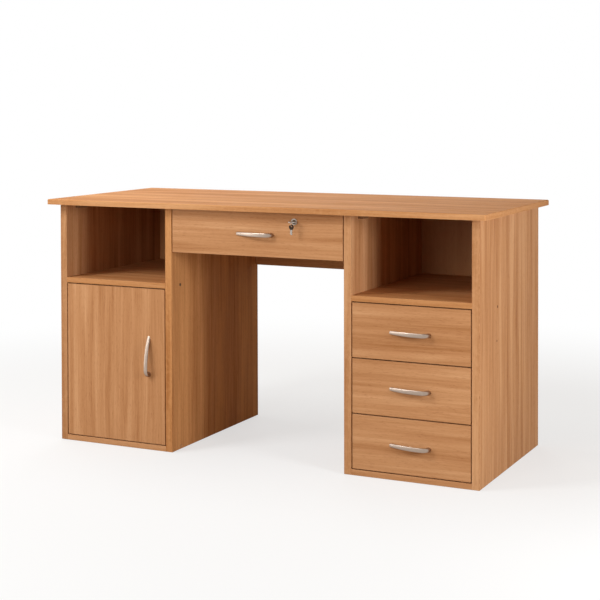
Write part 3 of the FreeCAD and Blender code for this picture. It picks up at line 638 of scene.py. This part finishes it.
def bowHandlePart(centre, upright):
    # Sections span from the inner line to the outer one, and are |u|^s + |v|^s = 1 with s the
    # squareness. They are slim at the near end and broad past the middle.
    bow = bowHandle
    share = np.concatenate([np.linspace(-1, 0, bow["nearSteps"], endpoint=False),
                            np.linspace(0, 1, bow["farSteps"])])
    turn = np.linspace(0, 2 * np.pi, bow["sides"], endpoint=False)
    outerX, outerY = bowedLine(share, bow["outer"], bow["rise"])
    innerX, innerY = bowedLine(share, bow["inner"], bow["rise"] - bow["thickness"])
    power = 2 / bow["squareness"]
    out = np.sign(np.cos(turn)) * np.abs(np.cos(turn)) ** power
    up = np.sign(np.sin(turn)) * np.abs(np.sin(turn)) ** power
    middleX, middleY = (outerX + innerX) / 2, (outerY + innerY) / 2
    x = middleX[:, None] + (outerX - innerX)[:, None] / 2 * out[None, :]
    y = middleY[:, None] + (outerY - innerY)[:, None] / 2 * out[None, :]
    endWidth = np.where(share < 0, bow["nearHalfWidth"], bow["farHalfWidth"])
    halfWidth = bow["halfWidth"] + (endWidth - bow["halfWidth"]) * share ** 2
    z = halfWidth[:, None] * up[None, :]
    if upright:
        x, z = z, -x
    return tubePart(np.stack([x + centre[0], y + centre[1], z + centre[2]], axis=-1))


for owner in handleOwners:
    seat, faceY = handleSeat(owner)
    upright = owner == "door"
    makePiece(owner + "_bow", [bowHandlePart((seat.x, faceY, seat.z), upright)],
              finishes["satinNickelUpright" if upright else "satinNickel"], owner,
              [owner + "_handle"], bowHandle["sharpAngle"])
print("stage: bow handles made")


# Screw heads, with a cross or hexagon recess worked into the head's own grid. Places on the head
# are shares of its radius.

headGrid = {"middle": 0.02, "fineReach": 0.62, "coarseFrom": 0.66, "fineRings": 26, "coarseRings": 10,
            "sides": 72, "roundFrom": 0.72}
recesses = {"cross": {"halfWidth": 0.14, "widthFade": 0.04, "reach": 0.58, "reachFade": 0.1},
            "hexagon": {"reach": 0.46, "reachFade": 0.05}}


def recessMask(kind, across, upwards):
    # One in the recess, zero outside, with a short slope between.
    shape = recesses[kind]
    if kind == "cross":
        thin = np.minimum(np.abs(across), np.abs(upwards))
        wide = np.maximum(np.abs(across), np.abs(upwards))
        return (np.clip((shape["halfWidth"] - thin) / shape["widthFade"], 0, 1)
                * np.clip((shape["reach"] - wide) / shape["reachFade"], 0, 1))
    flats = [np.abs(across * np.cos(a) + upwards * np.sin(a)) for a in (0, np.pi / 3, 2 * np.pi / 3)]
    return np.clip((shape["reach"] - np.max(flats, axis=0)) / shape["reachFade"], 0, 1)


def screwHeadPart(centre, axis, head):
    # The top's height is (height - crown) sqrt(1 - e^2) + crown (1 - s^2), less the recess, with
    # s the share of the radius and e its part past the start of the rounded rim.
    way, side, other = axesAbout(axis)
    grid, radius, crown = headGrid, head["radius"], head["crown"]
    share = np.concatenate([np.linspace(grid["middle"], grid["fineReach"], grid["fineRings"]),
                            np.linspace(grid["coarseFrom"], 1.0, grid["coarseRings"])])
    angle = np.linspace(0, 2 * np.pi, grid["sides"], endpoint=False)
    s, t = np.meshgrid(share, angle, indexing="ij")
    across, upwards = s * np.cos(t), s * np.sin(t)
    rim = np.clip((s - grid["roundFrom"]) / (1 - grid["roundFrom"]), 0, 1)
    top = (head["height"] - crown) * np.sqrt(np.clip(1 - rim ** 2, 0, 1)) + crown * (1 - s ** 2)
    top = top - head["depth"] * recessMask(head["recess"], across, upwards)
    middle = np.array(centre, float)
    spin = across[..., None] * side + upwards[..., None] * other
    points = middle + radius * spin + top[..., None] * way
    foot = middle + radius * (np.cos(angle)[:, None] * side + np.sin(angle)[:, None] * other)
    return tubePart(np.concatenate([points, foot[None]], axis=0))


handleScrew = {"spacing": 0.096, "shank": 0.002, "grip": 0.004, "board": 0.016, "sides": 20,
               "head": {"radius": 0.004, "height": 0.0024, "crown": 0.0006, "recess": "cross",
                        "depth": 0.0012}, "sharpAngle": 50.0}
shank = [(-handleScrew["grip"], handleScrew["shank"]), (handleScrew["board"], handleScrew["shank"])]
for owner in handleOwners:
    seat, faceY = handleSeat(owner)
    run = Vector((0, 0, 1)) if owner == "door" else Vector((1, 0, 0))
    parts = []
    for way in (-1, 1):
        spot = Vector((seat.x, 0, seat.z)) + run * (way * handleScrew["spacing"] / 2)
        parts.append(turnedPart(shank, (spot.x, faceY, spot.z), (0, 1, 0), handleScrew["sides"]))
        parts.append(screwHeadPart((spot.x, faceY + handleScrew["board"], spot.z), (0, 1, 0),
                                   handleScrew["head"]))
    makePiece(owner + "_bow_screws", parts, finishes["zincSteel"], owner,
              [owner + "_handle_screws"], handleScrew["sharpAngle"])

boardScrew = {"head": {"radius": 0.005, "height": 0.0004, "crown": 0.0, "recess": "hexagon",
                       "depth": 0.0026},
              "shank": 0.0035, "length": 0.050, "cone": 0.003, "tip": 0.004, "tipRadius": 0.001,
              "sides": 20, "kneeFace": 0.278, "levels": (0.008, 0.492), "depths": (-0.218, 0.227),
              "pedestalFace": 0.300, "panelDepth": 0.2705, "panelLevels": (0.674, 0.550)}
boardHead = boardScrew["head"]
screwSeats = []
for side in (-1, 1):
    screwSeats += [((side * boardScrew["kneeFace"], y, z), (-side, 0, 0))
                   for z in boardScrew["levels"] for y in boardScrew["depths"]]
    screwSeats += [((side * boardScrew["pedestalFace"], boardScrew["panelDepth"], z), (side, 0, 0))
                   for z in boardScrew["panelLevels"]]
coneAndShank = [(-boardHead["height"], boardHead["radius"]),
                (-boardScrew["cone"], boardScrew["shank"]),
                (boardScrew["tip"] - boardScrew["length"], boardScrew["shank"]),
                (-boardScrew["length"], boardScrew["tipRadius"])]
parts = []
for place, out in screwSeats:
    sunk = np.array(place) - np.array(out) * boardHead["height"]
    parts.append(screwHeadPart(sunk, out, boardHead))
    parts.append(turnedPart(coneAndShank, place, out, boardScrew["sides"]))
makePiece("board_screws", parts, finishes["bronzedScrew"], "carcass", ["panel_screws"])

# Thin printed stickers over those heads; the one at the front of the left shelf has lost its own.
cover = {"radius": 0.0065, "thickness": 0.00035, "lift": 0.00002, "sides": 40,
         "bare": (-0.278, -0.218, 0.492)}
disc = [(cover["lift"], cover["radius"]), (cover["thickness"] * 0.7, cover["radius"]),
        (cover["thickness"], cover["radius"] * 0.96)]
makePiece("screw_covers", [turnedPart(disc, place, out, cover["sides"]) for place, out in screwSeats
                           if math.dist(place, cover["bare"]) > cover["radius"]],
          oakMaterial("coverFinish", (-1, -1, -1), (1, 1, 1), (0, 1, 0), True,
                      changes={"band": 0.6, "specular": 0.03}), "carcass")
print("stage: screws made")


# Rollers

roller = {"radius": 0.0075, "bore": 0.0021, "hubRadius": 0.0042, "dish": 0.0009, "sides": 48,
          "hubSlope": 0.0003, "rimDepth": 0.0014, "sideGap": 0.00005, "sharpAngle": 35.0,
          "rim": [(0.0, 0.0011), (0.0001, 0.0004), (0.0006, 0.00005)]}


def rollerPart(centre, outward, half):
    # A wheel with a crowned tread, dished faces and a hub, turned about the drawer's cross axis.
    # The rim's steps are (in from the face, below the tread).
    r, hub, bore, dish = roller["radius"], roller["hubRadius"], roller["bore"], roller["dish"]
    face = [(half, bore), (half, hub), (half - dish, hub + roller["hubSlope"]),
            (half - dish, r - roller["rimDepth"])]
    face += [(half - inward, r - below) for inward, below in roller["rim"]]
    profile = [(-along, radius) for along, radius in face] + [(0, r)] + face[::-1]
    count = roller["sides"]
    points, faces = turnedPart(profile, centre, (outward, 0, 0), count)
    last = (len(profile) - 1) * count
    lining = [[index, (index + 1) % count, last + (index + 1) % count, last + index]
              for index in range(count)]
    return points, faces[:-2] + lining


for drawer in drawerNames:
    for end in ("front", "rear"):
        nodeName = drawer + "_" + end + "_rollers"
        low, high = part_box(nodeName)
        middle = middleOf(nodeName)
        across = np.array([vertex.co.x for vertex in cadNodes[nodeName].data.vertices])
        leftOne = across[across < middle.x]
        half = float(leftOne.max() - leftOne.min()) / 2
        makePiece(drawer + "_" + end + "_wheels",
                  [rollerPart((low[0] + half, middle.y, middle.z), -1, half - roller["sideGap"]),
                   rollerPart((high[0] - half, middle.y, middle.z), 1, half - roller["sideGap"])],
                  finishes["rollerNylon"], nodeName, [nodeName], roller["sharpAngle"])
print("stage: rollers made")


# Rivet heads on the rollers' pins, and the flat-headed screws that hold the runners. The heads stay
# within the 1.3 mm that a runner's two halves leave between them. Faces and hubs are distances from
# the carcass wall, heights are distances above the moving half's lower edge, and each wall has its
# place and the way that it faces.

runner = {"fixedFace": 0.0012, "movingFace": 0.0113, "fixedHub": 0.0100, "movingHub": 0.0025,
          "rivet": 0.0030, "rivetHeight": 0.0005, "rivetFoot": (-0.0003, 0.0001), "rivetSides": 28,
          "screw": {"radius": 0.0032, "height": 0.0006, "crown": 0.0001, "recess": "cross",
                    "depth": 0.0005},
          "fixedScrews": (-0.205, -0.045, 0.150), "movingScrews": (-0.215, -0.020, 0.140),
          "fixedHeight": 0.0072, "movingHeight": 0.0104,
          "kneeWalls": ((-0.278, 1), (0.278, -1)), "pedestalWalls": ((0.300, 1), (0.651, -1))}
rivetDome = [(runner["rivetFoot"][0], runner["rivet"] * 0.95),
             (runner["rivetFoot"][1], runner["rivet"]),
             (runner["rivetHeight"] * 0.8, runner["rivet"] * 0.7),
             (runner["rivetHeight"], runner["rivet"] * 0.25)]
fixedHeads = []
for drawer in drawerNames:
    movingHeads = []
    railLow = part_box(drawer + "_drawer_rails")[0][2]
    frontPin, rearPin = (middleOf(drawer + "_" + end + "_rollers") for end in ("front", "rear"))
    for wall, way in runner["kneeWalls" if drawer == "centre" else "pedestalWalls"]:
        for pin, hub, out, heads in ((frontPin, runner["fixedHub"], way, fixedHeads),
                                     (rearPin, runner["movingHub"], -way, movingHeads)):
            heads.append(turnedPart(rivetDome, (wall + way * hub, pin.y, pin.z), (out, 0, 0),
                                    runner["rivetSides"]))
        for half, out, heads in (("fixed", way, fixedHeads), ("moving", -way, movingHeads)):
            x, z = wall + way * runner[half + "Face"], railLow + runner[half + "Height"]
            heads += [screwHeadPart((x, y, z), (out, 0, 0), runner["screw"])
                      for y in runner[half + "Screws"]]
    makePiece(drawer + "_runner_heads", movingHeads, finishes["zincSteel"], drawer + "_drawer", ())
makePiece("fixed_runner_heads", fixedHeads, finishes["zincSteel"], "carcass", ())
print("stage: runner screws and rivets made")


# Key ring: a torus in the plane square to the drawer's front. With R the ring's reach, w the
# wire's radius and a, b the turns, x = w sin b, y = (R + w cos b) cos a, z = (R + w cos b) sin a.

keyRing = {"wire": 0.00068, "steps": 96, "sides": 20, "sharpAngle": 60.0}
ringLow, ringHigh = (Vector(corner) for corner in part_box("key_ring"))
ringMiddle = (ringLow + ringHigh) / 2
around = np.linspace(0, 2 * np.pi, keyRing["steps"], endpoint=False)[:, None]
about = np.linspace(0, 2 * np.pi, keyRing["sides"], endpoint=False)[None, :]
reach = (ringHigh.z - ringLow.z) / 2 - keyRing["wire"] + keyRing["wire"] * np.cos(about)
ringPoints = np.stack([ringMiddle.x + keyRing["wire"] * np.sin(about) + 0 * around,
                       ringMiddle.y + reach * np.cos(around),
                       ringMiddle.z + reach * np.sin(around)], axis=-1)
makePiece("split_ring", [ringPart(ringPoints)], finishes["keySteel"], "key_ring", ["key_ring"],
          keyRing["sharpAngle"])

spareKey = {"head": (0.022, 0.012, 0.007, 1.0), "blade": (0.45, 0.40, 0.35, 1.0),
            "shoulder": 0.0145, "paleHead": 2.2, "fine": (900.0, 900.0, 900.0), "specular": 0.2,
            "roughness": 0.36, "fineRoughness": 0.1, "bladeRoughness": -0.14, "bump": 0.00003,
            "softness": 0.0004, "segments": 3}


def spareKeyMaterial():
    # One piece, two finishes: a dark moulded head above the shoulder and a steel blade below it.
    look = spareKey
    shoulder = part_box("spare_key")[1][2] - look["shoulder"]
    material, tree, inputs, where = newMaterial("spareKeyFinish", specular=look["specular"])
    place = where["Object"]
    isBlade = doMath(tree, "LESS_THAN", splitVector(tree, place)[2], shoulder)
    fine = cloud(tree, place, look["fine"], 3.0, 0.6)
    head = blendColour(tree, fine, look["head"], shaded(look["head"], look["paleHead"]))
    tree.links.new(blendColour(tree, isBlade, head, look["blade"]), inputs["Base Color"])
    tree.links.new(isBlade, inputs["Metallic"])
    rough = multiplyAdd(tree, fine, look["fineRoughness"], look["roughness"])
    rough = multiplyAdd(tree, isBlade, look["bladeRoughness"], rough)
    tree.links.new(rough, inputs["Roughness"])
    addBump(tree, inputs, fine, look["bump"])
    return material


finishNode("spare_key", spareKeyMaterial(), spareKey["softness"], spareKey["segments"], joinFlat=True)
print("stage: keys finished")


# Nails that hold the hardboard backs, in columns along the sides and rows at the shelf and base

nail = {"radius": 0.0016, "proud": 0.0005, "sunk": 0.0004, "rear": 0.280, "sides": 16,
        "columns": (0.2915, 0.6595), "lowest": 0.035, "highest": 0.715, "pitch": 0.115,
        "rowLevels": (0.008, 0.492), "rowPlaces": (0.38, 0.4755, 0.57), "sharpAngle": 50.0}
nailDome = [(-nail["sunk"], nail["radius"]), (nail["proud"] * 0.4, nail["radius"]),
            (nail["proud"] * 0.85, nail["radius"] * 0.75), (nail["proud"], nail["radius"] * 0.3)]
nailSpots = []
for side in (-1, 1):
    nailSpots += [(side * x, float(z)) for x in nail["columns"]
                  for z in np.arange(nail["lowest"], nail["highest"], nail["pitch"])]
    nailSpots += [(side * x, z) for z in nail["rowLevels"] for x in nail["rowPlaces"]]
makePiece("back_panel_nails", [turnedPart(nailDome, (x, nail["rear"], z), (0, 1, 0), nail["sides"])
                               for x, z in nailSpots],
          finishes["nailSteel"], "carcass", (), nail["sharpAngle"])
print("stage: nails made")


# Floor, lights and camera

stage = {"floorSeen": (0.80, 0.79, 0.78, 1.0), "floorBounce": (0.31, 0.26, 0.21, 1.0),
         "floorHalf": 9.0, "floorHeight": -0.0006, "floorRoughness": 0.9, "floorSpecular": 0.1,
         "fadeFrom": 0.9, "fadeTo": 2.6, "whiteShare": 0.62, "ambient": 0.30,
         "ambientColour": (1.0, 0.82, 0.64, 1.0)}


def seenDirectly(tree):
    # One for a ray that the eye follows, straight, by reflection or through glass, and zero for
    # light on its way between surfaces.
    rays = addNode(tree, "ShaderNodeLightPath").outputs
    return doMath(tree, "MAXIMUM", rays["Is Camera Ray"],
                  doMath(tree, "MAXIMUM", rays["Is Glossy Ray"], rays["Is Transmission Ray"]))


def makeFloor():
    # A pale plane that takes the shadow and turns to plain white away from the desk.
    half, height = stage["floorHalf"], stage["floorHeight"]
    mesh = bpy.data.meshes.new("floor")
    mesh.from_pydata([(-half, -half, height), (half, -half, height), (half, half, height),
                      (-half, half, height)], [], [(0, 1, 2, 3)])
    material, tree, inputs, where = newMaterial("paleFloor", stage["floorRoughness"],
                                                specular=stage["floorSpecular"])
    mesh.materials.append(material)
    seen = seenDirectly(tree)
    colour = blendColour(tree, seen, stage["floorBounce"], stage["floorSeen"])
    tree.links.new(colour, inputs["Base Color"])
    away = addNode(tree, "ShaderNodeVectorMath", {0: where["Object"]},
                   operation="LENGTH").outputs["Value"]
    white = stepBetween(tree, away, stage["fadeFrom"], stage["fadeTo"], stage["whiteShare"], 1.0)
    glow = addNode(tree, "ShaderNodeEmission", {"Color": (1, 1, 1, 1), "Strength": 1.0}).outputs[0]
    mix = addNode(tree, "ShaderNodeMixShader", {0: multiply(tree, seen, white),
                                                1: tree.nodes["Principled BSDF"].outputs[0], 2: glow})
    tree.links.new(mix.outputs[0], tree.nodes["Material Output"].inputs["Surface"])
    floor = bpy.data.objects.new("floor", mesh)
    bpy.context.scene.collection.objects.link(floor)


def makeWorld():
    # The background is white to the eye, and a soft warm light to the surfaces.
    world = bpy.data.worlds.new("studio")
    bpy.context.scene.world = world
    world.use_nodes = True
    tree = world.node_tree
    soft = tree.nodes["Background"]
    soft.inputs[0].default_value = stage["ambientColour"]
    soft.inputs[1].default_value = stage["ambient"]
    white = addNode(tree, "ShaderNodeBackground", {0: (1, 1, 1, 1), 1: 1.0})
    mix = addNode(tree, "ShaderNodeMixShader", {0: seenDirectly(tree), 1: soft.outputs[0],
                                                2: white.outputs[0]})
    tree.links.new(mix.outputs[0], tree.nodes["World Output"].inputs["Surface"])


lampWhite = (0.93, 0.97, 1.0)
lamps = {
    "rightPanel": dict(place=(2.15, -0.90, 0.80), aim=(0.20, 0.0, 0.42), size=0.55, level=2.65,
                       glints=False),
    "leftFrontPanel": dict(place=(-1.60, -2.00, 2.20), aim=(0.0, -0.2, 0.40), size=0.9, level=4.5),
    "frontPanel": dict(place=(-0.20, -3.20, 1.30), aim=(0.0, -0.2, 0.35), size=0.9, level=1.8,
                       glints=False),
    "leftPanel": dict(place=(-4.20, -2.80, 0.90), aim=(-0.2, -0.2, 0.35), size=2.0, level=5.2),
    "overheadPanel": dict(place=(-1.10, 0.0, 2.20), aim=(-0.3, 0.0, 0.74), size=1.2, level=2.05,
                          glints=False),
    "rearPanel": dict(place=(-1.20, 2.80, 1.60), aim=(0.0, 0.28, 0.40), size=1.4, level=2.4,
                      glints=False)}


def makeLamp(name, place, aim, size, level, glints=True):
    # Level is the share of plain white that the panel gives at one metre, face on.
    light = bpy.data.lights.new(name, "AREA")
    light.shape = "SQUARE"
    light.size = size
    light.color = lampWhite
    light.energy = level * math.pi ** 2
    panel = bpy.data.objects.new(name, light)
    panel.location = place
    panel.visible_glossy = glints
    panel.rotation_euler = (Vector(aim) - Vector(place)).to_track_quat("-Z", "Y").to_euler()
    bpy.context.scene.collection.objects.link(panel)


cameraFit = {"place": (1.86827, -3.82539, 1.04832), "yaw": 25.86, "pitch": -1.32, "roll": -0.13,
             "lens": 84.41, "sensor": 36.0, "shiftY": -0.2833, "farClip": 60.0}


def makeCamera():
    # Yaw turns left from straight back, pitch is up from level, roll is to the right.
    yaw, pitch, roll = (math.radians(cameraFit[key]) for key in ("yaw", "pitch", "roll"))
    level = Vector((-math.sin(yaw), math.cos(yaw), 0))
    right = Vector((math.cos(yaw), math.sin(yaw), 0))
    forward = level * math.cos(pitch) + Vector((0, 0, math.sin(pitch)))
    upward = -level * math.sin(pitch) + Vector((0, 0, math.cos(pitch)))
    rolledRight = right * math.cos(roll) + upward * math.sin(roll)
    rolledUp = -right * math.sin(roll) + upward * math.cos(roll)
    turn = Matrix((rolledRight, rolledUp, -forward)).transposed()
    camera = bpy.data.objects.new("photoCamera", bpy.data.cameras.new("photoCamera"))
    camera.data.lens = cameraFit["lens"]
    camera.data.sensor_width = cameraFit["sensor"]
    camera.data.shift_y = cameraFit["shiftY"]
    camera.data.clip_end = cameraFit["farClip"]
    camera.matrix_world = Matrix.Translation(cameraFit["place"]) @ turn.to_4x4()
    bpy.context.scene.collection.objects.link(camera)
    bpy.context.scene.camera = camera


makeFloor()
makeWorld()
for lampName, lamp in lamps.items():
    makeLamp(lampName, **lamp)
makeCamera()
bpy.context.scene.view_settings.view_transform = "Standard"
print("stage: floor, lights and camera set")
